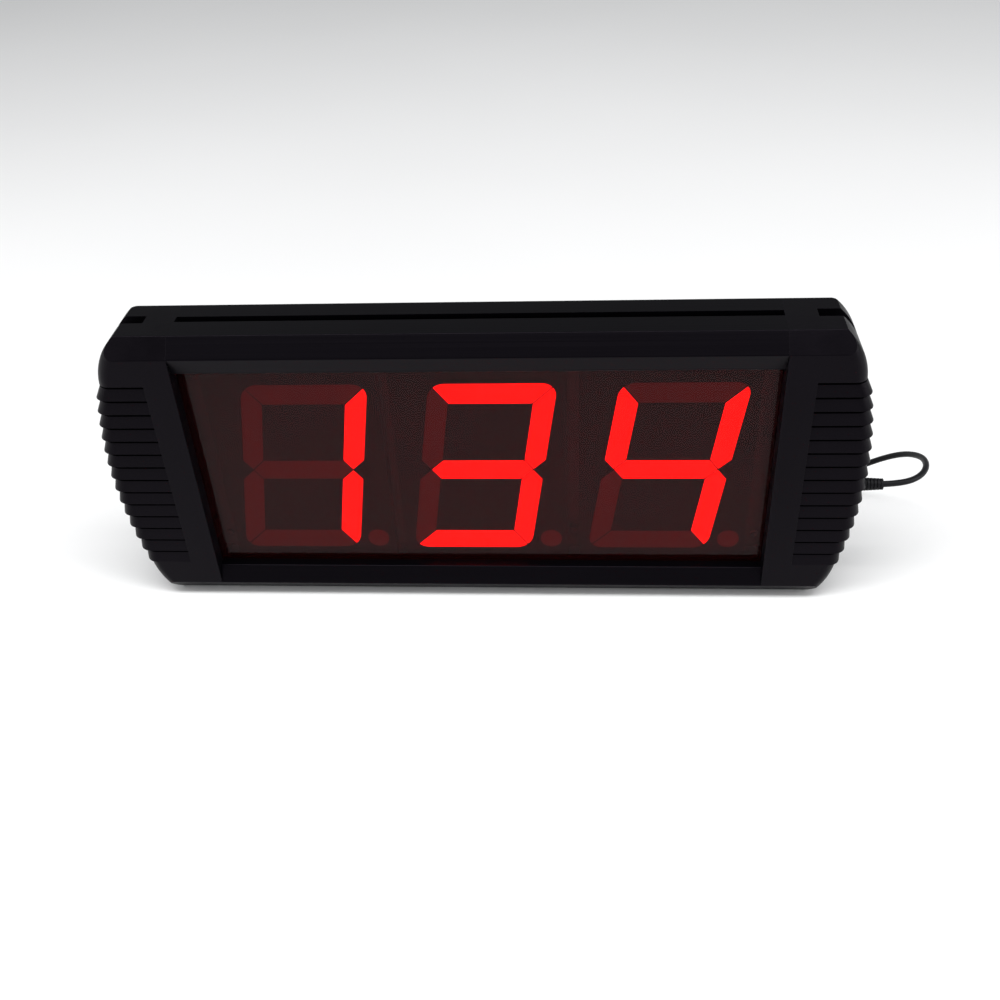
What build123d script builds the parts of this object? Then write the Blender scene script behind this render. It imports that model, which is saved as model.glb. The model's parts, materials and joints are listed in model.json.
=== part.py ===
from build123d import *
import math
import os

# Gym round timer. Two aluminium rails are joined by two moulded end caps. A red lens and a back
# panel slide in the rails' grooves, and three 5 inch LED digits stand behind the lens. A round-pin
# plug feeds it from a wall adapter. Millimetres, +Z up, the front faces -Y, the origin is on the
# floor under the middle of the housing. In the profiles, h is the height from mid height outwards.

# Housing
HEIGHT = 196.0
DEPTH = 48.0
FRONT_Y = -DEPTH / 2
BACK_Y = DEPTH / 2
MID_Z = HEIGHT / 2
SEAM_X = 180.0
EDGE_R = 0.8

# Rail profile
NOSE_H = 86.7
RIDGE_Y = -14.5
TOP_H = HEIGHT / 2
LIP_Y = -19.3
LIP_H = 74.75
LENS_FRONT_Y = -12.8
LENS_THICK = 3.0
PANEL_FRONT_Y = 18.5
PANEL_THICK = 3.0
SHEET_FIT = 0.1
LENS_END_GAP = 1.2
GROOVE_H = 79.5
RAIL_WALL = 2.5
SLOT_Y = 5.5
SLOT_WIDE = 6.5
SLOT_LIP = 3.0
TEE_WIDE = 11.0
TEE_FLOOR_H = 89.0
PORT_H = 84.5
PORT_R = 2.05

# End caps
CAP_PEAK_X = 237.5
CAP_BULGE = 560.0
CAP_TOP_X = 212.5
CAP_SHOULDER = (222.5, 85.0)
CAP_FRONT_CORNER_R = 8.0
CAP_BACK_CORNER_R = 4.0
RIB_COUNT = 14
RIB_PITCH = 9.8
RIB_START_X = 197.8
RIB_SIDE_DEEP = 2.0
RIB_FACE_DEEP = 1.3
RIB_GROOVE_HIGH = 2.0
RIB_GROOVE_SINK = 2.2
SCREW_POCKET_X = 199.0
SCREW_POCKET_WIDE = 9.0
SCREW_POCKET_FLOOR_H = 80.5

SCREW_HOLE_R = 2.25
CAP_SCREW_R = 2.0
CAP_SCREW_LONG = 34.0
CAP_SCREW_HEAD = 2.6
CAP_SCREW_HEAD_R = 3.5
PLUG_HOLE_R = 5.7

# Lens and back panel
SHEET_HALF_WIDE = 183.6
SHEET_HALF_HIGH = 79.0
KEYHOLE_X = 150.0
KEYHOLE_Z = 138.0
KEYHOLE_R = 4.5
KEYHOLE_NECK = 4.6
KEYHOLE_RISE = 8.0
SOUND_SLOT_LONG = 16.0
SOUND_SLOT_WIDE = 2.0
SOUND_SLOT_PITCH = 4.0

# Small screws and pillars
SCREW_R = 1.5
SCREW_HEAD_R = 2.75
SCREW_HEAD = 2.0
PILLAR_ACROSS = 5.5

# Digits
DIGIT_PITCH = 115.1
DIGIT_OFFSET_X = 0.5
DIGIT_Z = MID_Z - 3.5
DIGIT_SLANT = 0.152
DIGIT_HALF_WIDE = 39.4
DIGIT_HALF_HIGH = 63.9
DIGIT_CORNER_R = 10.0
BAR_SIDE_THICK = 13.8
BAR_LEVEL_THICK = 14.8
BAR_TIP_X = 32.5
BAR_GAP = 0.4
DOT_AT = (51.2, -56.0)
DOT_R = 7.0
HOUSING_WIDE = 108.0
HOUSING_HIGH = 148.0
HOUSING_DEEP = 9.0
DIGIT_FACE_Y = -7.8
DIFFUSER_DEEP = 4.0

# Boards
BOARD_THICK = 1.6
BOARD_Y = DIGIT_FACE_Y + HOUSING_DEEP
BOARD_BACK_Y = BOARD_Y + BOARD_THICK
CONTROL_Y = 9.0
CONTROL_BACK_Y = CONTROL_Y + BOARD_THICK
SPACER_AT = (176.0, 62.0)
CONTROL_SIZE = (100.0, 70.0)
STANDOFF_AT = (44.0, 31.0)

BOARD_SIZE = (364.0, 144.0)
LED_THICK = 1.0
PIN_PITCH = 12.7
PIN_ROWS = 136.0
PIN_R = 0.4
PIN_LONG = 3.6
DRIVER_Z = 50.0
RECEIVER_AT = (58.05, 40.0)
BUZZER_AT = (-28.0, 84.0)
BUZZER_R = 11.0
BUZZER_DEEP = 7.0
CELL_AT = (28.0, 113.0)
CELL_R = 10.0
CELL_THICK = 3.2
CAPACITOR_R = 3.2

# Power inlet, plug and lead
INLET_Y = 1.0
INLET_Z = 76.0
JACK_FACE_X = 228.5
JACK_BACK_X = 209.0
JACK_DEEP = 10.0
BARREL_R = 2.75
BARREL_BORE_R = 1.05
BARREL_LONG = 9.5
PLUG_R = 5.2
STEM_R = 2.9
INNER_LEAD_R = 0.8
PLUG_END_X = 240.0
RELIEF_END_X = 253.0
CORD_R = 2.0
COIL_AT = (185.0, 64.0)
COIL_MID_R = 24.0
COIL_WIDE = 12.0
COIL_HIGH = 8.0
COIL_FLOOR_Z = 0.8
ADAPTER_SIZE = (70.0, 40.0, 29.0)
ADAPTER_AT = (85.0, 76.0)
BLADE_BACK = 18.0
BLADE_PITCH = 12.7
BLADE_WIDE = 6.3
BLADE_THICK = 1.5
BLADE_LONG = 17.0
TIE_WIDE = 8.0

# The lead's route, from the strain relief round behind the housing and down to its coil
CORD_ROUTE = [
    (RELIEF_END_X, INLET_Y, INLET_Z),
    (266.0, 1.6, 76.2),
    (278.5, 8.5, 76.6),
    (286.0, 22.5, 75.0),
    (287.5, 41.0, 69.5),
    (281.0, 61.0, 57.5),
    (267.0, 78.0, 38.5),
    (248.0, 88.5, 18.0),
    (226.0, 92.8, 5.0),
    (206.0, 92.6, 2.8),
    (188.0, 92.0, 2.8),
]
TAIL_ROUTE = [
    (185.0, 92.0, 6.8),
    (168.0, 90.5, 7.6),
    (150.0, 81.0, 11.6),
    (133.0, 76.0, 14.5),
]

os.makedirs("parts", exist_ok=True)


def save(part, name):
    part.label = name
    export_step(part, f"parts/{name}.step")


def facing(y):
    """The upright plane at depth y, looking forward; extrude(amount=-t) goes back from it."""
    return Plane.XZ.offset(-y)


def side_plane(x):
    return Plane.YZ.offset(x)


def span(low, high, low_2, high_2, mode=Mode.ADD):
    """A rectangle in the current sketch between two pairs of edges."""
    with Locations(((low + high) / 2, (low_2 + high_2) / 2)):
        Rectangle(abs(high - low), abs(high_2 - low_2), mode=mode)


def rail(up):
    """One rail: the open face of its channel looks towards mid height; up is 1 or -1."""

    def band(low, high, low_h, high_h, mode):
        span(low, high, MID_Z + up * low_h, MID_Z + up * high_h, mode)

    def corners(*points):
        return [(y, MID_Z + up * h) for y, h in points]

    groove_front = LENS_FRONT_Y - SHEET_FIT
    groove_back = LENS_FRONT_Y + LENS_THICK + SHEET_FIT
    channel_front = groove_back + RAIL_WALL - 0.5
    panel_front = PANEL_FRONT_Y - SHEET_FIT
    panel_back = PANEL_FRONT_Y + PANEL_THICK + SHEET_FIT
    channel_back = panel_front - RAIL_WALL + 0.5
    tee_half = TEE_WIDE / 2
    with BuildPart() as body:
        with BuildSketch(side_plane(-SEAM_X)):
            with BuildLine():
                FilletPolyline(
                    *corners(
                        (FRONT_Y, NOSE_H),
                        (RIDGE_Y, TOP_H),
                        (BACK_Y, TOP_H),
                        (BACK_Y, LIP_H),
                        (LIP_Y, LIP_H),
                    ),
                    radius=EDGE_R,
                    close=True,
                )
            make_face()
            band(groove_front, groove_back, LIP_H - 1, GROOVE_H, Mode.SUBTRACT)
            band(panel_front, panel_back, LIP_H - 1, GROOVE_H, Mode.SUBTRACT)
            band(channel_front, channel_back, LIP_H - 1, TOP_H - RAIL_WALL, Mode.SUBTRACT)
            with BuildLine():
                Polyline(
                    *corners(
                        (-18.2, GROOVE_H + RAIL_WALL),
                        (-21.0, NOSE_H),
                        (-13.7, 95.4),
                        (groove_back - 0.5, 95.4),
                        (groove_back - 0.5, GROOVE_H + RAIL_WALL),
                    ),
                    close=True,
                )
            make_face(mode=Mode.SUBTRACT)
            tee_wall = tee_half + RAIL_WALL
            band(SLOT_Y - tee_wall, SLOT_Y + tee_wall, TEE_FLOOR_H - 2, TOP_H, Mode.ADD)
            band(SLOT_Y - 4, SLOT_Y + 4, PORT_H - 4, TEE_FLOOR_H, Mode.ADD)
            band(SLOT_Y - tee_half, SLOT_Y + tee_half, TEE_FLOOR_H, TOP_H - SLOT_LIP, Mode.SUBTRACT)
            slot_half = SLOT_WIDE / 2
            band(SLOT_Y - slot_half, SLOT_Y + slot_half, TEE_FLOOR_H, TOP_H + 1, Mode.SUBTRACT)
            with Locations((SLOT_Y, MID_Z + up * PORT_H)):
                Circle(PORT_R, mode=Mode.SUBTRACT)
        extrude(amount=2 * SEAM_X)
    return body.part


def cap_edge_x(z):
    """How far out the crests of the side's ribs reach at height z."""
    return CAP_PEAK_X - (z - MID_Z) ** 2 / CAP_BULGE


def end_cap(side, has_inlet):
    """One end cap; side is 1 for the right end and -1 for the left."""
    ribs_half = RIB_COUNT * RIB_PITCH / 2
    ribs_low = MID_Z - ribs_half
    ribs_high = MID_Z + ribs_half
    base_x = cap_edge_x(ribs_high) - RIB_SIDE_DEEP
    shoulder_x, shoulder_h = CAP_SHOULDER
    beyond_x = CAP_PEAK_X + 10

    def hollow(low_x, high_x, low_y, high_y, low_z, high_z):
        with BuildSketch(facing(low_y)) as mouth:
            span(side * low_x, side * high_x, low_z, high_z)
        return extrude(mouth.sketch, amount=low_y - high_y, mode=Mode.PRIVATE)

    gap_front = LENS_FRONT_Y - LENS_END_GAP
    sheet_front = LENS_FRONT_Y - SHEET_FIT
    sheet_back = PANEL_FRONT_Y + PANEL_THICK + SHEET_FIT
    board_back = sheet_back - 1.2
    pocket_front = SLOT_Y - SCREW_POCKET_WIDE / 2
    pocket_back = SLOT_Y + SCREW_POCKET_WIDE / 2
    hollows = [
        hollow(SEAM_X, SEAM_X + 4, gap_front, sheet_back, MID_Z - GROOVE_H, MID_Z + GROOVE_H),
        hollow(SEAM_X, SEAM_X + 41, sheet_front, board_back, MID_Z - 66, MID_Z + 66),
        hollow(SEAM_X, JACK_FACE_X, sheet_front, board_back, MID_Z - 36, MID_Z + 36),
    ]
    for up in (-1, 1):
        low, high = sorted((MID_Z + up * SCREW_POCKET_FLOOR_H, MID_Z + up * (TOP_H + 1)))
        hollows.append(hollow(SCREW_POCKET_X, beyond_x, pocket_front, pocket_back, low, high))

    with BuildPart() as cap:
        with BuildSketch(facing(BACK_Y)):
            with BuildLine():
                Polyline((side * CAP_TOP_X, HEIGHT), (side * SEAM_X, HEIGHT),
                         (side * SEAM_X, 0), (side * CAP_TOP_X, 0))
                ThreePointArc((side * CAP_TOP_X, 0), (side * shoulder_x, MID_Z - shoulder_h),
                              (side * base_x, ribs_low))
                Line((side * base_x, ribs_low), (side * base_x, ribs_high))
                ThreePointArc((side * base_x, ribs_high), (side * shoulder_x, MID_Z + shoulder_h),
                              (side * CAP_TOP_X, HEIGHT))
            make_face()
        extrude(amount=DEPTH)
        for y, radius in ((FRONT_Y, CAP_FRONT_CORNER_R), (BACK_Y, CAP_BACK_CORNER_R)):
            outer = cap.edges().filter_by(lambda e: side * e.center().X > CAP_TOP_X + 1)
            fillet(outer.filter_by(lambda e: abs(e.center().Y - y) < EDGE_R), radius)

        # The ribbed band is cut away and filled again by shingles, each one sunk at its top and
        # proud at its foot, round the front and the side alike. A groove runs under every foot.
        with BuildSketch(facing(BACK_Y)):
            span(side * RIB_START_X, side * beyond_x, ribs_low, ribs_high)
        extrude(amount=DEPTH, mode=Mode.SUBTRACT)
        for rib in range(RIB_COUNT):
            foot = ribs_low + rib * RIB_PITCH
            top = foot + RIB_PITCH - RIB_GROOVE_HIGH
            shingle = ((foot, 0), (top, 1))
            groove = ((top, RIB_GROOVE_SINK), (foot + RIB_PITCH, RIB_GROOVE_SINK))
            for ends in (shingle, groove):
                for z, sunk in ends:
                    edge_x = cap_edge_x(z) - sunk * RIB_SIDE_DEEP
                    face_y = FRONT_Y + sunk * RIB_FACE_DEEP
                    with BuildSketch(Plane.XY.offset(z)) as section:
                        span(side * RIB_START_X, side * edge_x, face_y, BACK_Y)
                        for row, radius in ((0, CAP_FRONT_CORNER_R), (-1, CAP_BACK_CORNER_R)):
                            edge = section.vertices().group_by(Axis.Y)[row]
                            fillet(edge.sort_by(lambda v: side * v.X)[-1], radius)
                loft()

        # The side view of the rails is carried on across the cap.
        with BuildSketch(side_plane(side * SEAM_X)):
            with BuildLine():
                FilletPolyline(
                    (FRONT_Y, MID_Z - NOSE_H),
                    (FRONT_Y, MID_Z + NOSE_H),
                    (RIDGE_Y, HEIGHT),
                    (BACK_Y, HEIGHT),
                    (BACK_Y, 0),
                    (RIDGE_Y, 0),
                    radius=EDGE_R,
                    close=True,
                )
            make_face()
        extrude(amount=side * (beyond_x - SEAM_X), mode=Mode.INTERSECT)

        # Hollows for the ends of the lens, the panel and the boards, the open pockets for the
        # screws' heads, the screws' holes and the hole for the plug.
        for cut in hollows:
            add(cut, mode=Mode.SUBTRACT)
        with BuildSketch(side_plane(side * SEAM_X)):
            with Locations((SLOT_Y, MID_Z - PORT_H), (SLOT_Y, MID_Z + PORT_H)):
                Circle(SCREW_HOLE_R)
        extrude(amount=side * (SCREW_POCKET_X - SEAM_X), mode=Mode.SUBTRACT)
        if has_inlet:
            with BuildSketch(side_plane(JACK_FACE_X)):
                with Locations((INLET_Y, INLET_Z)):
                    Circle(PLUG_HOLE_R)
            extrude(amount=beyond_x - JACK_FACE_X, mode=Mode.SUBTRACT)
    return cap.part


def rod(low_x, high_x, at, radius):
    """A round bar along X, as a part of its own."""
    with BuildPart() as bar:
        with BuildSketch(side_plane(low_x)):
            with Locations(at):
                Circle(radius)
        extrude(amount=high_x - low_x)
    return bar.part


def block(low, high):
    """A rectangular block between two corners, as a part of its own."""
    with BuildPart() as solid:
        with BuildSketch(Plane.XY.offset(low[2])):
            span(low[0], high[0], low[1], high[1])
        extrude(amount=high[2] - low[2])
    return solid.part


def digit_point(digit_x, x, z):
    """A point of an upright digit, leant over and put in its place on the display."""
    return (digit_x + x + DIGIT_SLANT * z, DIGIT_Z + z)


def bar_face(digit_x, letter):
    """The outline of one bar of a digit, named a to g clockwise from the top, g in the middle."""
    inner_x = DIGIT_HALF_WIDE - BAR_SIDE_THICK
    inner_z = DIGIT_HALF_HIGH - BAR_LEVEL_THICK
    middle = BAR_LEVEL_THICK / 2
    round_x = DIGIT_HALF_WIDE - DIGIT_CORNER_R
    round_z = DIGIT_HALF_HIGH - DIGIT_CORNER_R

    def on_corner(degrees, x_sign, z_sign):
        turn = math.radians(degrees)
        x = round_x + DIGIT_CORNER_R * math.cos(turn)
        z = round_z + DIGIT_CORNER_R * math.sin(turn)
        return digit_point(digit_x, x_sign * x, z_sign * z)

    def at(x, z):
        return digit_point(digit_x, x, z)

    with BuildSketch(facing(DIGIT_FACE_Y)) as bar:
        with BuildLine():
            if letter == "g":
                Polyline(at(-BAR_TIP_X, 0), at(-inner_x, middle), at(inner_x, middle),
                         at(BAR_TIP_X, 0), at(inner_x, -middle), at(-inner_x, -middle), close=True)
            elif letter in "ad":
                up = 1 if letter == "a" else -1
                ThreePointArc(*(on_corner(angle, 1, up) for angle in (45, 67.5, 90)))
                Line(on_corner(90, 1, up), on_corner(90, -1, up))
                ThreePointArc(*(on_corner(angle, -1, up) for angle in (90, 67.5, 45)))
                Polyline(on_corner(45, -1, up), at(-inner_x, up * inner_z),
                         at(inner_x, up * inner_z), on_corner(45, 1, up))
            else:
                right = 1 if letter in "bc" else -1
                up = 1 if letter in "bf" else -1
                ThreePointArc(*(on_corner(angle, right, up) for angle in (45, 22.5, 0)))
                Polyline(on_corner(0, right, up), at(right * DIGIT_HALF_WIDE, up * middle),
                         at(right * BAR_TIP_X, 0), at(right * inner_x, up * middle),
                         at(right * inner_x, up * inner_z), on_corner(45, right, up))
        make_face()
        offset(amount=-BAR_GAP, kind=Kind.INTERSECTION, mode=Mode.REPLACE)
    return bar.sketch


def dot_face(digit_x):
    with BuildSketch(facing(DIGIT_FACE_Y)) as dot:
        with Locations(digit_point(digit_x, *DOT_AT)):
            Circle(DOT_R)
    return dot.sketch


def lamp_places(digit_x, letter):
    """Where the LED chips of one bar stand."""
    level_z = DIGIT_HALF_HIGH - BAR_LEVEL_THICK / 2
    side_x = DIGIT_HALF_WIDE - BAR_SIDE_THICK / 2
    steps = range(-2, 3)
    if letter in "adg":
        z = {"a": level_z, "d": -level_z, "g": 0}[letter]
        return [digit_point(digit_x, 10 * step, z) for step in steps]
    x = side_x if letter in "bc" else -side_x
    up = 1 if letter in "bf" else -1
    return [digit_point(digit_x, x, up * (30 + 8 * step)) for step in steps]


def tube(route, radius, name):
    """A round lead along a route, each corner rounded as far as its two runs allow."""
    points = [Vector(*point) for point in route]
    radii = []
    for before, corner, after in zip(points, points[1:], points[2:]):
        half_turn = math.radians((corner - before).get_angle(after - corner)) / 2
        shorter = min((corner - before).length, (after - corner).length)
        radii.append(0.45 * shorter / math.tan(half_turn))
    with BuildPart() as lead:
        with BuildLine() as path:
            FilletPolyline(*points, radius=radii)
        with BuildSketch(Plane(origin=points[0], z_dir=points[1] - points[0])):
            Circle(radius)
        sweep(path=path.wire())
    length = path.wire().length
    share = lead.part.volume / (math.pi * radius**2 * length)
    print(name, "radii", [round(r) for r in radii], "length", round(length), "volume", round(share, 4))
    return lead.part


# Housing: rails, end caps, lens and back panel
save(rail(1), "top_rail")
save(rail(-1), "bottom_rail")
save(end_cap(-1, False), "left_end_cap")
save(end_cap(1, True), "right_end_cap")

with BuildPart() as front_lens:
    with BuildSketch(facing(LENS_FRONT_Y)):
        with Locations((0, MID_Z)):
            Rectangle(2 * SHEET_HALF_WIDE, 2 * SHEET_HALF_HIGH)
    extrude(amount=-LENS_THICK)
save(front_lens.part, "front_lens")

with BuildPart() as back_panel:
    with BuildSketch(facing(PANEL_FRONT_Y)):
        with Locations((0, MID_Z)):
            Rectangle(2 * SHEET_HALF_WIDE, 2 * SHEET_HALF_HIGH)
            with GridLocations(2 * SPACER_AT[0], 2 * SPACER_AT[1], 2, 2):
                Circle(SCREW_R + 0.2, mode=Mode.SUBTRACT)
        for x in (-KEYHOLE_X, KEYHOLE_X):
            with Locations((x, KEYHOLE_Z)):
                Circle(KEYHOLE_R, mode=Mode.SUBTRACT)
            with Locations((x, KEYHOLE_Z + KEYHOLE_RISE / 2)):
                SlotCenterToCenter(KEYHOLE_RISE, KEYHOLE_NECK, rotation=90, mode=Mode.SUBTRACT)
        with Locations(BUZZER_AT):
            with GridLocations(0, SOUND_SLOT_PITCH, 1, 5):
                SlotOverall(SOUND_SLOT_LONG, SOUND_SLOT_WIDE, mode=Mode.SUBTRACT)
    extrude(amount=-PANEL_THICK)
save(back_panel.part, "back_panel")

# Four screws hold each pair of rails and caps together, from the open pockets in the caps.
with BuildPart() as end_cap_screws:
    for side in (-1, 1):
        with BuildSketch(side_plane(side * SCREW_POCKET_X)):
            with Locations((SLOT_Y, MID_Z - PORT_H), (SLOT_Y, MID_Z + PORT_H)):
                Circle(CAP_SCREW_HEAD_R)
        extrude(amount=side * CAP_SCREW_HEAD)
        with BuildSketch(side_plane(side * SCREW_POCKET_X)):
            with Locations((SLOT_Y, MID_Z - PORT_H), (SLOT_Y, MID_Z + PORT_H)):
                Circle(CAP_SCREW_R)
        extrude(amount=-side * CAP_SCREW_LONG)
        with BuildSketch(side_plane(side * (SCREW_POCKET_X + CAP_SCREW_HEAD))):
            with Locations((SLOT_Y, MID_Z - PORT_H), (SLOT_Y, MID_Z + PORT_H)):
                Rectangle(4.0, 0.9)
                Rectangle(0.9, 4.0)
        extrude(amount=-side * 1.2, mode=Mode.SUBTRACT)
save(end_cap_screws.part, "end_cap_screws")


def machine_screws(head_y, back, half_x, half_z, length):
    """Four M3 screws in a rectangle; back is 1 where their heads look to the rear."""
    with BuildPart() as screws:
        with BuildSketch(facing(head_y)):
            with Locations((0, MID_Z)):
                with GridLocations(2 * half_x, 2 * half_z, 2, 2):
                    Circle(SCREW_HEAD_R)
        extrude(amount=-back * SCREW_HEAD)
        with BuildSketch(facing(head_y)):
            with Locations((0, MID_Z)):
                with GridLocations(2 * half_x, 2 * half_z, 2, 2):
                    Circle(SCREW_R)
        extrude(amount=back * length)
        with BuildSketch(facing(head_y + back * SCREW_HEAD)):
            with Locations((0, MID_Z)):
                with GridLocations(2 * half_x, 2 * half_z, 2, 2):
                    Rectangle(3.4, 0.8)
                    Rectangle(0.8, 3.4)
        extrude(amount=back * SCREW_HEAD / 2, mode=Mode.SUBTRACT)
    return screws.part


def hex_pillars(low_y, high_y, half_x, half_z):
    """Four hexagonal threaded pillars that stand between two boards."""
    with BuildPart() as pillars:
        with BuildSketch(facing(low_y)):
            with Locations((0, MID_Z)):
                with GridLocations(2 * half_x, 2 * half_z, 2, 2):
                    RegularPolygon(PILLAR_ACROSS / 2, 6, major_radius=False)
                    Circle(SCREW_R + 0.05, mode=Mode.SUBTRACT)
        extrude(amount=low_y - high_y)
    return pillars.part


save(machine_screws(PANEL_FRONT_Y + PANEL_THICK, 1, *SPACER_AT, 8.0), "back_panel_screws")
save(hex_pillars(BOARD_BACK_Y, PANEL_FRONT_Y, *SPACER_AT), "board_spacers")
save(machine_screws(BOARD_Y, -1, *SPACER_AT, 7.0), "display_board_screws")
save(hex_pillars(BOARD_BACK_Y, CONTROL_Y, *STANDOFF_AT), "control_board_standoffs")
save(machine_screws(CONTROL_BACK_Y, 1, *STANDOFF_AT, 5.5), "control_board_screws")

# Display: three digit modules on one board, each with its housing, bars, dot, pins and LED chips
digit_places = {
    "left": (DIGIT_OFFSET_X - DIGIT_PITCH, "bc"),
    "middle": (DIGIT_OFFSET_X, "abcdg"),
    "right": (DIGIT_OFFSET_X + DIGIT_PITCH, "bcfg"),
}
bar_letters = "abcdefg"
dots = [dot_face(digit_x) for digit_x, lit in digit_places.values()]
for place, (digit_x, lit) in digit_places.items():
    bars = {letter: bar_face(digit_x, letter) for letter in bar_letters}
    with BuildPart() as digit_housing:
        with BuildSketch(facing(DIGIT_FACE_Y)):
            with Locations((digit_x, MID_Z)):
                Rectangle(HOUSING_WIDE, HOUSING_HIGH)
        extrude(amount=-HOUSING_DEEP)
        for face in list(bars.values()) + [dot_face(digit_x)]:
            extrude(face, amount=-HOUSING_DEEP, mode=Mode.SUBTRACT)
    save(digit_housing.part, f"{place}_digit_housing")
    with BuildPart() as lit_bars:
        for letter in lit:
            extrude(bars[letter], amount=-DIFFUSER_DEEP)
    save(lit_bars.part, f"{place}_digit_lit_bars")
    with BuildPart() as dark_bars:
        for letter in sorted(set(bar_letters) - set(lit)):
            extrude(bars[letter], amount=-DIFFUSER_DEEP)
    save(dark_bars.part, f"{place}_digit_dark_bars")

with BuildPart() as decimal_points:
    for face in dots:
        extrude(face, amount=-DIFFUSER_DEEP)
save(decimal_points.part, "decimal_points")

with BuildPart() as led_chips:
    with BuildSketch(facing(BOARD_Y)):
        for digit_x, lit in digit_places.values():
            for letter in bar_letters:
                with Locations(*lamp_places(digit_x, letter)):
                    Rectangle(3.5, 2.8)
            with Locations(digit_point(digit_x, *DOT_AT)):
                Rectangle(3.5, 2.8)
    extrude(amount=LED_THICK)
save(led_chips.part, "led_chips")

with BuildPart() as digit_pins:
    with BuildSketch(facing(BOARD_Y)):
        for digit_x, lit in digit_places.values():
            with Locations((digit_x, MID_Z)):
                with GridLocations(PIN_PITCH, PIN_ROWS, 5, 2):
                    Circle(PIN_R)
    extrude(amount=-PIN_LONG)
save(digit_pins.part, "digit_pins")

with BuildPart() as display_board:
    with BuildSketch(facing(BOARD_Y)):
        with Locations((0, MID_Z)):
            Rectangle(BOARD_SIZE[0], BOARD_SIZE[1])
            with GridLocations(2 * SPACER_AT[0], 2 * SPACER_AT[1], 2, 2):
                Circle(SCREW_R + 0.1, mode=Mode.SUBTRACT)
        for digit_x, lit in digit_places.values():
            with Locations((digit_x, MID_Z)):
                with GridLocations(PIN_PITCH, PIN_ROWS, 5, 2):
                    Circle(PIN_R + 0.1, mode=Mode.SUBTRACT)
    extrude(amount=-BOARD_THICK)
save(display_board.part, "display_board")


def chips(y, places, size, thick, leg_rows):
    """Moulded chips that lie on a board's back face, with legs along two sides."""
    wide, high = size
    with BuildPart() as packages:
        with BuildSketch(facing(y + 0.1)):
            with Locations(*places):
                Rectangle(wide, high)
        extrude(amount=-(thick - 0.1))
        chamfer(packages.faces().sort_by(Axis.Y)[-len(places):].edges(), 0.3)
        with BuildSketch(facing(y)):
            with Locations(*places):
                with GridLocations(1.27, high + 1.2, leg_rows, 2):
                    Rectangle(0.5, 1.4)
        extrude(amount=-0.6)
    return packages.part


driver_places = [(digit_x, DRIVER_Z) for digit_x, lit in digit_places.values()]
save(chips(BOARD_BACK_Y, driver_places, (10.0, 4.0), 1.8, 8), "segment_drivers")
save(chips(CONTROL_BACK_Y, [(-12.0, 113.0)], (18.0, 7.6), 2.4, 14), "microcontroller")
save(chips(CONTROL_BACK_Y, [(20.0, 92.0)], (6.6, 6.1), 2.3, 3), "voltage_regulator")

with BuildPart() as infrared_receiver:
    with BuildSketch(facing(BOARD_Y)):
        with Locations(RECEIVER_AT):
            Rectangle(5.6, 7.0)
    extrude(amount=4.0)
    fillet(infrared_receiver.edges().filter_by(Axis.Y), 0.8)
    with Locations((RECEIVER_AT[0], BOARD_Y - 4.0, RECEIVER_AT[1] + 0.6)):
        Sphere(2.0)
save(infrared_receiver.part, "infrared_receiver")

# Control board and what stands on it
with BuildPart() as control_board:
    with BuildSketch(facing(CONTROL_Y)):
        with Locations((0, MID_Z)):
            Rectangle(*CONTROL_SIZE)
            with GridLocations(2 * STANDOFF_AT[0], 2 * STANDOFF_AT[1], 2, 2):
                Circle(SCREW_R + 0.1, mode=Mode.SUBTRACT)
    extrude(amount=-BOARD_THICK)
    fillet(control_board.edges().filter_by(Axis.Y).group_by(Axis.X)[0], 2.0)
save(control_board.part, "control_board")

with BuildPart() as board_header:
    with BuildSketch(facing(BOARD_BACK_Y)):
        with Locations((0, 128)):
            Rectangle(25.4, 5.0)
    extrude(amount=BOARD_BACK_Y - CONTROL_Y)
    chamfer(board_header.edges().filter_by(Axis.Y), 0.4)
save(board_header.part, "board_header")

with BuildPart() as clock_crystal:
    with BuildSketch(facing(CONTROL_BACK_Y)):
        with Locations((-12.0, 98.0)):
            SlotOverall(11.0, 4.6)
    extrude(amount=-3.4)
    fillet(clock_crystal.faces().sort_by(Axis.Y)[-1].edges(), 0.5)
save(clock_crystal.part, "clock_crystal")

with BuildPart() as cell_holder:
    with BuildSketch(facing(CONTROL_BACK_Y)):
        with Locations(CELL_AT):
            Circle(CELL_R + 1.5)
            Rectangle(2 * CELL_R + 6, 8.0)
    extrude(amount=-(CELL_THICK + 1.0))
    with BuildSketch(facing(CONTROL_BACK_Y + 1.0)):
        with Locations(CELL_AT):
            Circle(CELL_R + 0.1)
    extrude(amount=-CELL_THICK, mode=Mode.SUBTRACT)
save(cell_holder.part, "cell_holder")

with BuildPart() as clock_cell:
    with BuildSketch(facing(CONTROL_BACK_Y + 1.0)):
        with Locations(CELL_AT):
            Circle(CELL_R)
    extrude(amount=-CELL_THICK)
    fillet(clock_cell.faces().sort_by(Axis.Y)[-1].edges(), 0.4)
save(clock_cell.part, "clock_cell")

with BuildPart() as buzzer:
    with BuildSketch(facing(CONTROL_BACK_Y)):
        with Locations(BUZZER_AT):
            Circle(BUZZER_R)
    extrude(amount=-BUZZER_DEEP)
    fillet(buzzer.faces().sort_by(Axis.Y)[-1].edges(), 0.8)
    with BuildSketch(facing(CONTROL_BACK_Y + BUZZER_DEEP)):
        with Locations(BUZZER_AT):
            Circle(1.5)
    extrude(amount=3.0, mode=Mode.SUBTRACT)
save(buzzer.part, "buzzer")

capacitor_at = (CONTROL_BACK_Y + CAPACITOR_R, 78.0)
with BuildPart() as supply_capacitor:
    add(rod(14.0, 27.0, capacitor_at, CAPACITOR_R))
    fillet(supply_capacitor.edges().filter_by(GeomType.CIRCLE), 0.6)
save(supply_capacitor.part, "supply_capacitor")

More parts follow.
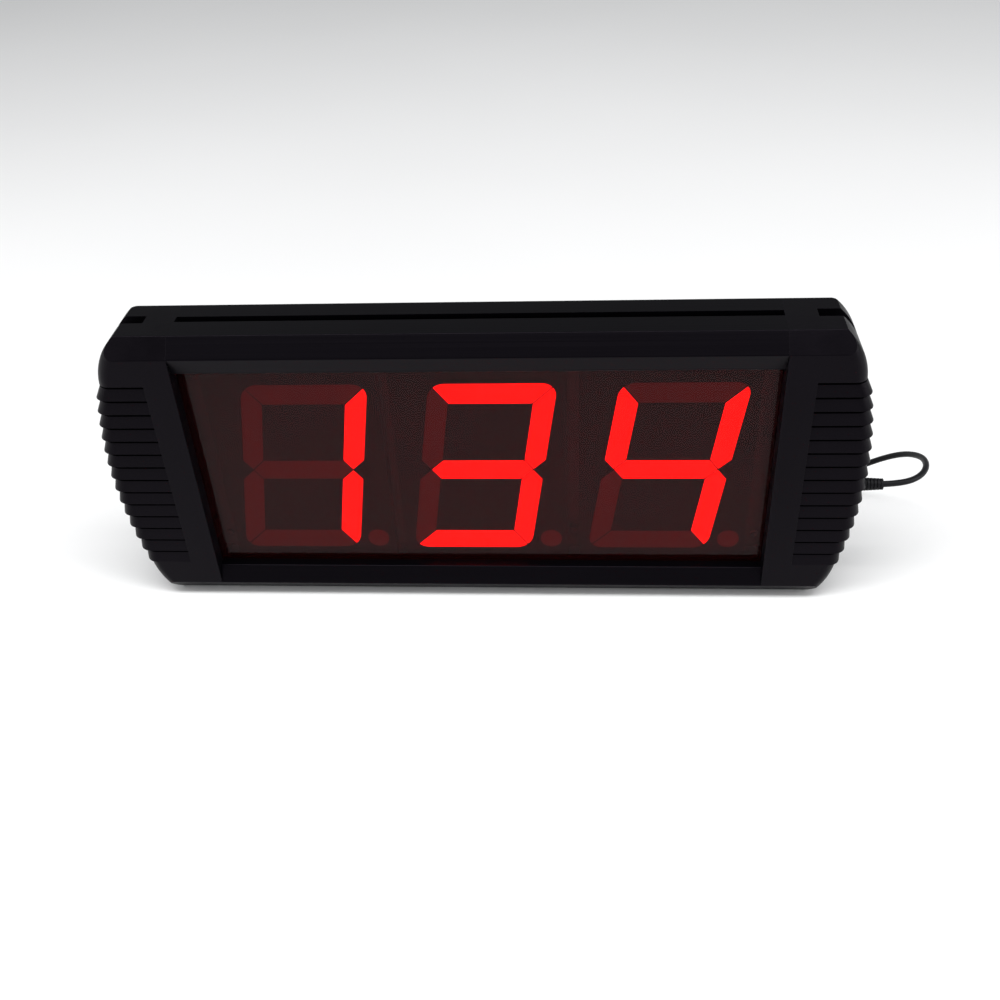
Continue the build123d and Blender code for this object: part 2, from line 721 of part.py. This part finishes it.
with BuildPart() as lead_connector:
    add(block((41.0, CONTROL_BACK_Y, INLET_Z - 3.5), (49.0, CONTROL_BACK_Y + 6, INLET_Z + 3.5)))
    chamfer(lead_connector.faces().sort_by(Axis.Y)[-1].edges(), 0.5)
save(lead_connector.part, "lead_connector")

# Power inlet in the right cap and its two inner leads
with BuildPart() as inlet_jack:
    add(block((JACK_BACK_X, INLET_Y - 4.5, INLET_Z - 5.5), (JACK_FACE_X, INLET_Y + 4.5, INLET_Z + 5.5)))
    chamfer(inlet_jack.faces().sort_by(Axis.X)[0].edges(), 0.8)
    add(rod(JACK_FACE_X - JACK_DEEP, JACK_FACE_X, (INLET_Y, INLET_Z), BARREL_R + 0.05), mode=Mode.SUBTRACT)
save(inlet_jack.part, "inlet_jack")

with BuildPart() as inlet_pin:
    add(rod(JACK_FACE_X - JACK_DEEP, JACK_FACE_X - 1.5, (INLET_Y, INLET_Z), BARREL_BORE_R - 0.05))
    fillet(inlet_pin.faces().sort_by(Axis.X)[-1].edges(), 0.5)
save(inlet_pin.part, "inlet_pin")

inner_leads = []
for z in (INLET_Z - 1.3, INLET_Z + 1.3):
    inner_route = [
        (JACK_BACK_X, INLET_Y, z),
        (196.0, 4.0, z),
        (172.0, 8.5, z),
        (140.0, 10.0, z),
        (105.0, 9.0, z),
        (80.0, 10.5, z),
        (63.0, 13.3, z),
        (49.0, 13.6, z),
    ]
    inner_leads.append(tube(inner_route, INNER_LEAD_R, "inner lead"))
with BuildPart() as power_leads:
    add(inner_leads)
save(power_leads.part, "power_leads")

# Plug, strain relief, lead, coil and wall adapter
plug_face_x = JACK_FACE_X + 0.3
with BuildPart() as plug_body:
    add(rod(plug_face_x, PLUG_END_X, (INLET_Y, INLET_Z), PLUG_R))
    fillet(plug_body.edges().filter_by(GeomType.CIRCLE), 0.8)
save(plug_body.part, "plug_body")

with BuildPart() as plug_barrel:
    add(rod(JACK_FACE_X - BARREL_LONG, plug_face_x, (INLET_Y, INLET_Z), BARREL_R))
    add(rod(JACK_FACE_X - BARREL_LONG, plug_face_x, (INLET_Y, INLET_Z), BARREL_BORE_R), mode=Mode.SUBTRACT)
save(plug_barrel.part, "plug_barrel")


def strain_relief(start, away, length, root_r, tip_r, rings):
    """A tapered ribbed sleeve along X with a stem a little thicker than the lead."""
    at_y, at_z = start[1:]
    pitch = length / rings
    with BuildPart() as sleeve:
        with BuildSketch(Plane(origin=start, x_dir=(away, 0, 0), z_dir=(0, -1, 0))):
            span(0, length, 0, STEM_R)
            for ring in range(rings):
                ring_r = root_r + (tip_r - root_r) * ring / (rings - 1)
                span(ring * pitch + 0.3 * pitch, (ring + 1) * pitch, 0, ring_r)
        revolve(axis=Axis((0, at_y, at_z), (1, 0, 0)))
    return sleeve.part


relief_start = (PLUG_END_X, INLET_Y, INLET_Z)
save(strain_relief(relief_start, 1, RELIEF_END_X - PLUG_END_X, 4.2, 3.6, 6), "plug_strain_relief")
save(tube(CORD_ROUTE, CORD_R, "power cord"), "power_cord")

with BuildPart() as cord_coil:
    with BuildSketch(Plane.XZ):
        with Locations((COIL_MID_R, COIL_FLOOR_Z + COIL_HIGH / 2)):
            RectangleRounded(COIL_WIDE, COIL_HIGH, CORD_R)
    revolve(axis=Axis.Z)
coil_part = cord_coil.part.moved(Location((*COIL_AT, 0)))
save(coil_part, "cord_coil")

with BuildPart() as cord_ties:
    for x_side in (-1, 1):
        tie_x = COIL_AT[0] + x_side * COIL_MID_R
        with BuildSketch(facing(COIL_AT[1] + TIE_WIDE / 2)):
            with Locations((tie_x, COIL_FLOOR_Z + COIL_HIGH / 2)):
                RectangleRounded(COIL_WIDE + 2.4, COIL_HIGH + 2 * COIL_FLOOR_Z, CORD_R)
                RectangleRounded(COIL_WIDE + 1.0, COIL_HIGH, CORD_R - 0.3, mode=Mode.SUBTRACT)
        extrude(amount=TIE_WIDE)
save(cord_ties.part, "cord_ties")

save(tube(TAIL_ROUTE, CORD_R, "cord tail"), "cord_tail")

long, deep, tall = ADAPTER_SIZE
adapter_low = (ADAPTER_AT[0] - long / 2, ADAPTER_AT[1] - deep / 2, 0)
adapter_high = (ADAPTER_AT[0] + long / 2, ADAPTER_AT[1] + deep / 2, tall)
adapter_tail = (adapter_high[0], ADAPTER_AT[1], tall / 2)
with BuildPart() as power_adapter:
    add(block(adapter_low, adapter_high))
    fillet(power_adapter.edges().filter_by(Axis.Z), 6.0)
    fillet(power_adapter.faces().sort_by(Axis.Z)[-1].edges(), 2.0)
    fillet(power_adapter.faces().sort_by(Axis.Z)[0].edges(), 2.0)
save(power_adapter.part, "power_adapter")

tail_long = TAIL_ROUTE[-1][0] - adapter_tail[0]
save(strain_relief(adapter_tail, 1, tail_long, 4.4, 3.4, 5), "adapter_strain_relief")

with BuildPart() as adapter_blades:
    with BuildSketch(Plane.XY.offset(tall)):
        with Locations((ADAPTER_AT[0] - BLADE_BACK, ADAPTER_AT[1])):
            with GridLocations(0, BLADE_PITCH, 1, 2):
                Rectangle(BLADE_WIDE, BLADE_THICK)
    extrude(amount=BLADE_LONG)
    fillet(adapter_blades.edges().filter_by(Axis.Y).group_by(Axis.Z)[-1], 1.5)
    with BuildSketch(facing(BACK_Y)):
        with Locations((ADAPTER_AT[0] - BLADE_BACK, tall + BLADE_LONG - 4.0)):
            Circle(1.5)
    extrude(amount=-3 * ADAPTER_AT[1], mode=Mode.SUBTRACT)
save(adapter_blades.part, "adapter_blades")
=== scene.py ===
import json
import math

import bmesh
import bpy
from mathutils import Matrix, Vector


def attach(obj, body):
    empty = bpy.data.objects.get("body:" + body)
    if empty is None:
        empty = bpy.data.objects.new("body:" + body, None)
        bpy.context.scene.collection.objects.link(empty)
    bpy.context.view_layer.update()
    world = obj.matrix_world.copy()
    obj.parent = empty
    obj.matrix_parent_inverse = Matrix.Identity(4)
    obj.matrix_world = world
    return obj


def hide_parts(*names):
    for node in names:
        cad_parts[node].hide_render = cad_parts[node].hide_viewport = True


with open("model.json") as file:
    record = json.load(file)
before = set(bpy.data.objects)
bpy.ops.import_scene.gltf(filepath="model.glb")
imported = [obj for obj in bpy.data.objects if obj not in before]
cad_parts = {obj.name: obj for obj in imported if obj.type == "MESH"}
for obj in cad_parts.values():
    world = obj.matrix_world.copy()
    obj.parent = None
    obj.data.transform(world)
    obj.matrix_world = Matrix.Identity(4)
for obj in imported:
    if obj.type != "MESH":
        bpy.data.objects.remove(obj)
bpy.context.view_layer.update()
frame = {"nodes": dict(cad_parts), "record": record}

LEAD = "plug_and_lead"
MM = 0.001


# ---------------------------------------------------------------- camera, floor and light

def make_camera():
    """The viewing direction is given by azimuth, elevation and roll about the line of sight."""
    azimuth, elevation, roll = (math.radians(a) for a in (5.43, 37.469, -3.244))
    back = Vector((
        math.sin(azimuth) * math.cos(elevation),
        -math.cos(azimuth) * math.cos(elevation),
        math.sin(elevation),
    ))
    right = (-back).cross(Vector((0, 0, 1))).normalized()
    up = right.cross(-back)
    level = Matrix((right, up, back)).transposed()
    data = bpy.data.cameras.new("camera")
    data.lens = 40.92
    data.sensor_width = 36.0
    data.clip_start = 0.01
    camera = bpy.data.objects.new("camera", data)
    camera.matrix_world = (level @ Matrix.Rotation(roll, 3, "Z")).to_4x4()
    camera.location = (0.0657, -0.5880, 0.5164)
    bpy.context.scene.collection.objects.link(camera)
    bpy.context.scene.camera = camera


def area_light(name, place, target, size, power):
    data = bpy.data.lights.new(name, "AREA")
    data.shape = "RECTANGLE"
    data.size, data.size_y = size
    data.energy = power
    light = bpy.data.objects.new(name, data)
    light.location = place
    aim = Vector(target) - Vector(place)
    light.rotation_euler = aim.to_track_quat("-Z", "Y").to_euler()
    bpy.context.scene.collection.objects.link(light)


def make_studio():
    world = bpy.data.worlds.new("studio")
    world.use_nodes = True
    sky = world.node_tree.nodes["Background"]
    sky.inputs["Color"].default_value = (0.96, 0.98, 1.0, 1)
    sky.inputs["Strength"].default_value = 0.3
    bpy.context.scene.world = world
    bpy.context.scene.view_settings.view_transform = "Standard"
    area_light("top", (0.0, -0.5, 2.2), (0, 0, 0), (2.6, 0.6), 50)
    area_light("left", (-1.8, -0.4, 0.8), (0, 0, 0.1), (1.2, 1.0), 15)
    area_light("right", (1.8, -0.4, 0.8), (0, 0, 0.1), (1.2, 1.0), 18)


# ---------------------------------------------------------------- materials

class Nodes:
    """A material's node tree, with short calls for the nodes that the materials share."""

    def __init__(self, name):
        self.material = bpy.data.materials.new(name)
        self.material.use_nodes = True
        self.tree = self.material.node_tree
        self.shader = self.tree.nodes["Principled BSDF"]
        self.place = self.add("ShaderNodeTexCoord").outputs["Object"]

    def add(self, kind, **values):
        node = self.tree.nodes.new(kind)
        for key, value in values.items():
            setattr(node, key, value)
        return node

    def link(self, start, end):
        self.tree.links.new(start, end)

    def stretched(self, stretch):
        mapping = self.add("ShaderNodeMapping")
        mapping.inputs["Scale"].default_value = stretch
        self.link(self.place, mapping.inputs["Vector"])
        return mapping.outputs["Vector"]

    def noise(self, scale, detail=3.0, stretch=None):
        noise = self.add("ShaderNodeTexNoise")
        noise.inputs["Scale"].default_value = scale
        noise.inputs["Detail"].default_value = detail
        self.link(self.stretched(stretch) if stretch else self.place, noise.inputs["Vector"])
        return noise.outputs["Fac"]

    def cells(self, scale, feature="F1", stretch=None):
        cells = self.add("ShaderNodeTexVoronoi", feature=feature)
        cells.inputs["Scale"].default_value = scale
        self.link(self.stretched(stretch) if stretch else self.place, cells.inputs["Vector"])
        return cells.outputs["Distance"]

    def ranged(self, value, low, high, start=0.3, end=0.7):
        ranged = self.add("ShaderNodeMapRange")
        ranged.inputs["From Min"].default_value = start
        ranged.inputs["From Max"].default_value = end
        ranged.inputs["To Min"].default_value = low
        ranged.inputs["To Max"].default_value = high
        self.link(value, ranged.inputs["Value"])
        return ranged.outputs["Result"]

    def mixed(self, factor, first, second):
        """A colour between two; each is a colour or another node's output."""
        mix = self.add("ShaderNodeMix", data_type="RGBA")
        self.link(factor, mix.inputs["Factor"])
        for socket, colour in ((mix.inputs[6], first), (mix.inputs[7], second)):
            if isinstance(colour, tuple):
                socket.default_value = (*colour, 1)
            else:
                self.link(colour, socket)
        return mix.outputs[2]

    def bumped(self, height, depth, edge_radius=0.0):
        """Surface relief, over edges that are shaded as if rounded to edge_radius."""
        bump = self.add("ShaderNodeBump")
        bump.inputs["Strength"].default_value = 1.0
        bump.inputs["Distance"].default_value = depth
        self.link(height, bump.inputs["Height"])
        if edge_radius:
            bevel = self.add("ShaderNodeBevel", samples=4)
            bevel.inputs["Radius"].default_value = edge_radius
            self.link(bevel.outputs["Normal"], bump.inputs["Normal"])
        self.link(bump.outputs["Normal"], self.shader.inputs["Normal"])

    def set(self, **values):
        for key, value in values.items():
            self.shader.inputs[key.replace("_", " ")].default_value = value


BODY_SHEEN = (0.92, 0.78, 1.0, 1)


def scaled(colour, factor):
    return tuple(min(1.0, c * factor) for c in colour)


def moulded(
    name, colour, roughness=0.45, grain=900.0, depth=0.00005, spread=0.25, edge=0.0003, **values
):
    """Moulded plastic or rubber with a spark-eroded grain, faint mottling and handling sheen."""
    m = Nodes(name)
    broad = m.noise(14.0, 4.0)
    m.link(m.mixed(m.ranged(broad, 0, 1), scaled(colour, 1 - spread), scaled(colour, 1 + spread)),
           m.shader.inputs["Base Color"])
    sheen = m.ranged(m.noise(45.0, 5.0), roughness - 0.07, roughness + 0.07)
    m.link(sheen, m.shader.inputs["Roughness"])
    m.bumped(m.noise(grain, 2.0), depth, edge)
    m.set(**{"Specular_IOR_Level": 0.12, **values})
    return m.material


def anodised(name, colour):
    """Extruded aluminium: drawn lines along X, dyed black, worn a little lighter in places."""
    m = Nodes(name)
    lines = m.noise(1.0, 6.0, stretch=(3.0, 1400.0, 1400.0))
    broad = m.noise(9.0, 4.0, stretch=(0.4, 1.0, 1.0))
    m.link(m.mixed(m.ranged(broad, 0, 1), scaled(colour, 0.75), scaled(colour, 1.3)),
           m.shader.inputs["Base Color"])
    m.link(m.ranged(lines, 0.30, 0.38), m.shader.inputs["Roughness"])
    m.bumped(lines, 0.00003, 0.0002)
    m.set(Specular_IOR_Level=0.075, Specular_Tint=BODY_SHEEN)
    return m.material


def metal(name, colour, roughness=0.28, brushed=(1.0, 1.0, 1.0)):
    m = Nodes(name)
    marks = m.noise(500.0, 4.0, stretch=brushed)
    m.link(m.mixed(m.ranged(m.noise(60.0, 4.0), 0, 1), scaled(colour, 0.8), scaled(colour, 1.1)),
           m.shader.inputs["Base Color"])
    m.link(m.ranged(marks, roughness - 0.08, roughness + 0.1), m.shader.inputs["Roughness"])
    m.bumped(marks, 0.00002, 0.0002)
    m.set(Metallic=1.0)
    return m.material


def lens_acrylic(name):
    """Clear dark red sheet: faint haze, fine rubbing marks and a slight waviness."""
    m = Nodes(name)
    rubs = m.noise(700.0, 5.0, stretch=(1.0, 1.0, 0.15))
    m.link(m.mixed(m.ranged(m.noise(6.0, 2.0), 0, 1), (0.40, 0.055, 0.06), (0.44, 0.06, 0.066)),
           m.shader.inputs["Base Color"])
    m.link(m.ranged(rubs, 0.0, 0.03, 0.55, 0.85), m.shader.inputs["Roughness"])
    m.bumped(m.noise(10.0, 1.0), 0.00002)
    m.set(Transmission_Weight=0.983, IOR=1.2, Specular_IOR_Level=0.3)
    return m.material


def diffuser(name, colour, glow, strength):
    """Red epoxy in a digit's bars: its LED chips show as slightly brighter spots. In unlit bars
    the faint emission is painted light, a glow that stands in for lamp light reaching them through
    the lens.
    """
    m = Nodes(name)
    spots = m.cells(75.0, stretch=(1.0, 0.0, 1.0))
    speckle = m.noise(1500.0, 2.0)
    m.link(m.mixed(m.ranged(speckle, 0, 1), scaled(colour, 0.85), scaled(colour, 1.1)),
           m.shader.inputs["Base Color"])
    m.link(m.mixed(m.ranged(spots, 0, 1, 0.0, 0.8), scaled(glow, 1.0), scaled(glow, 0.86)),
           m.shader.inputs["Emission Color"])
    m.bumped(speckle, 0.00002, 0.0003)
    m.set(Roughness=0.5, Emission_Strength=strength)
    return m.material


def circuit_board(name, track, ground):
    """Solder mask over copper tracks that run as a maze of cell borders."""
    m = Nodes(name)
    tracks = m.cells(160.0, "DISTANCE_TO_EDGE", stretch=(1.0, 1.0, 1.6))
    mask = m.ranged(tracks, 0, 1, 0.04, 0.07)
    m.link(m.mixed(mask, track, ground), m.shader.inputs["Base Color"])
    m.link(m.ranged(m.noise(80.0), 0.28, 0.4), m.shader.inputs["Roughness"])
    m.bumped(mask, -0.00003)
    return m.material


def strap(name, colour):
    """Hook and loop strap: a dense pile of fine loops."""
    m = Nodes(name)
    pile = m.noise(1800.0, 5.0)
    m.link(m.mixed(m.ranged(pile, 0, 1), scaled(colour, 0.5), scaled(colour, 1.9)),
           m.shader.inputs["Base Color"])
    m.bumped(pile, 0.0004)
    m.set(Roughness=0.92, Sheen_Weight=0.4)
    return m.material


def floor_surface(name):
    m = Nodes(name)
    broad = m.noise(1.5, 3.0)
    m.link(m.mixed(m.ranged(broad, 0, 1), (0.86, 0.86, 0.86), (0.89, 0.89, 0.89)),
           m.shader.inputs["Base Color"])
    m.bumped(m.noise(400.0), 0.00005)
    m.set(Roughness=0.6)
    return m.material


MATERIALS = {
    "anodised_rail": anodised("anodised_rail", (0.0009, 0.0008, 0.0013)),
    "cap_plastic": moulded("cap_plastic", (0.0014, 0.0012, 0.0018), 0.36, 1100.0, 0.00006,
                            Specular_IOR_Level=0.075, Specular_Tint=BODY_SHEEN),
    "lens_acrylic": lens_acrylic("lens_acrylic"),
    "panel_plastic": moulded("panel_plastic", (0.012, 0.012, 0.013), 0.5, 1300.0, 0.00006),
    "digit_housing": moulded("digit_housing", (0.006, 0.005, 0.005), 0.6, 1500.0, 0.00004),
    "lit_diffuser": diffuser("lit_diffuser", (0.5, 0.02, 0.01), (1.0, 0.006, 0.0), 6.5),
    # Unlit bars: their faint emission is painted light that stands in for lamp light falling on
    # them through the lens.
    "dark_diffuser": diffuser("dark_diffuser", (0.16, 0.008, 0.012), (0.55, 0.004, 0.01), 0.11),
    "led": moulded("led", (0.78, 0.72, 0.52), 0.4),
    "zinc_screw": metal("zinc_screw", (0.55, 0.56, 0.58)),
    "black_screw": metal("black_screw", (0.03, 0.03, 0.032), 0.4),
    "brass": metal("brass", (0.72, 0.52, 0.22)),
    "tinned_pin": metal("tinned_pin", (0.72, 0.73, 0.74), 0.22, (0.1, 1.0, 1.0)),
    "board": circuit_board("board", (0.05, 0.26, 0.10), (0.012, 0.09, 0.035)),
    "mask_board": circuit_board("mask_board", (0.010, 0.010, 0.010), (0.005, 0.005, 0.005)),
    "chip_black": moulded("chip_black", (0.012, 0.012, 0.013), 0.5, 2500.0, 0.00003),
    "black_plastic": moulded("black_plastic", (0.013, 0.013, 0.014), 0.4, 1500.0, 0.00004),
    "white_plastic": moulded("white_plastic", (0.72, 0.70, 0.62), 0.4, 1500.0, 0.00003),
    "steel_can": metal("steel_can", (0.66, 0.67, 0.69), 0.25, (1.0, 1.0, 0.1)),
    "sleeve": moulded("sleeve", (0.012, 0.012, 0.05), 0.25, 600.0, 0.00003),
    "wire_insulation": moulded("wire_insulation", (0.28, 0.01, 0.01), 0.4, 800.0, 0.00004),
    "cord_jacket": moulded("cord_jacket", (0.0075, 0.0075, 0.009), 0.42, 700.0, 0.00005, edge=0.0),
    "soft_black": moulded("soft_black", (0.008, 0.008, 0.0095), 0.5, 1200.0, 0.00006),
    "tie": strap("tie", (0.012, 0.012, 0.013)),
    "adapter_shell": moulded("adapter_shell", (0.009, 0.009, 0.010), 0.35, 1000.0, 0.00007),
}


def dress_nodes():
    """Every CAD node takes the material of its slot in the record."""
    slots = {entry["node"]: entry["material_slot"] for entry in frame["record"]["subparts"]}
    for name, node in frame["nodes"].items():
        node.data.materials.clear()
        node.data.materials.append(MATERIALS[slots[name]])


# ---------------------------------------------------------------- power lead

CORD_R = 2.0
COIL_AT = (185.0, 64.0)
COIL_OUTER_R = 28.0
COIL_LOW_Z = 2.8
COIL_PITCH = 4.0
TURNS_PER_LAYER = 3
POINTS_PER_TURN = 24
SHIFT_POINTS = 5

CORD_ROUTE = [
    (253.0, 1.0, 76.0),
    (266.0, 1.6, 76.2),
    (278.5, 8.5, 76.6),
    (286.0, 22.5, 75.0),
    (287.5, 41.0, 69.5),
    (281.0, 61.0, 57.5),
    (267.0, 78.0, 38.5),
    (248.0, 88.5, 18.0),
    (226.0, 92.8, 5.0),
    (206.0, 92.6, 2.8),
]
TAIL_ROUTE = [
    (168.0, 90.5, 7.6),
    (150.0, 81.0, 11.6),
    (133.0, 76.0, 14.5),
]


def coil_points():
    """Three turns inwards on the floor, then three outwards on top of them."""
    points = []
    turns = 2 * TURNS_PER_LAYER
    for step in range(turns * POINTS_PER_TURN + 1):
        turn, place = divmod(step, POINTS_PER_TURN)
        shift = max(0.0, (place - POINTS_PER_TURN + SHIFT_POINTS) / SHIFT_POINTS)
        inwards = turn + shift
        if inwards <= TURNS_PER_LAYER - 1:
            ring, layer = inwards, 0.0
        elif inwards < TURNS_PER_LAYER:
            ring, layer = TURNS_PER_LAYER - 1, inwards - (TURNS_PER_LAYER - 1)
        else:
            ring, layer = turns - 1 - inwards, 1.0
        radius = COIL_OUTER_R - COIL_PITCH * max(0.0, ring)
        angle = math.pi / 2 + math.tau * step / POINTS_PER_TURN
        points.append((
            COIL_AT[0] + radius * math.cos(angle),
            COIL_AT[1] + radius * math.sin(angle),
            COIL_LOW_Z + COIL_PITCH * layer,
        ))
    return points


def make_cord():
    route = CORD_ROUTE + coil_points() + TAIL_ROUTE
    curve = bpy.data.curves.new("power_lead", "CURVE")
    curve.dimensions = "3D"
    curve.bevel_depth = CORD_R * MM
    curve.bevel_resolution = 5
    curve.resolution_u = 6
    curve.use_fill_caps = True
    spline = curve.splines.new("NURBS")
    spline.points.add(len(route) - 1)
    for point, place in zip(spline.points, route):
        point.co = (*(value * MM for value in place), 1)
    spline.order_u = 3
    spline.use_endpoint_u = True
    curve.materials.append(MATERIALS["cord_jacket"])
    lead = bpy.data.objects.new("power_lead", curve)
    bpy.context.scene.collection.objects.link(lead)
    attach(lead, LEAD)
    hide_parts("power_cord", "cord_coil", "cord_tail")


def make_floor():
    mesh = bpy.data.meshes.new("floor")
    grid = bmesh.new()
    bmesh.ops.create_grid(grid, x_segments=1, y_segments=1, size=40.0)
    grid.to_mesh(mesh)
    grid.free()
    mesh.materials.append(floor_surface("floor"))
    floor = bpy.data.objects.new("floor", mesh)
    bpy.context.scene.collection.objects.link(floor)


make_camera()
make_cord()
make_studio()
make_floor()
dress_nodes()
